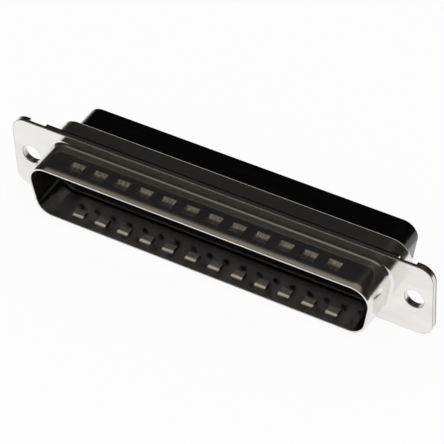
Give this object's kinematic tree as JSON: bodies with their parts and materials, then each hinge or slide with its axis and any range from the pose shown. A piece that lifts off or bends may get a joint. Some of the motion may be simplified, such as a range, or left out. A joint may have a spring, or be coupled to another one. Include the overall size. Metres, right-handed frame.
{
  "type": "d-sub plug connector housing",
  "caption": "D-shaped plug shell of a cable connector for crimp contacts: flanged drawn steel shroud, steel rear hood and black insulator block, empty of contacts.",
  "frame": {"origin": "centre of the front face of the flange, midway between the two mounting holes", "axes": "+X along the connector, +Z towards the long side of the D, -Y the mating direction, out of the shroud"},
  "size_m": [0.0694, 0.0158, 0.0126],
  "materials": {
    "front_shell_steel": "bright tin plated drawn steel",
    "rear_shell_steel": "bright tin plated drawn steel",
    "insulator_plastic": "glossy black moulded thermoplastic"
  },
  "bodies": {
    "root": {"front_shell": "front_shell_steel", "rear_shell": "rear_shell_steel", "front_insulator": "insulator_plastic", "rear_insulator": "insulator_plastic"}
  },
  "joints": []
}
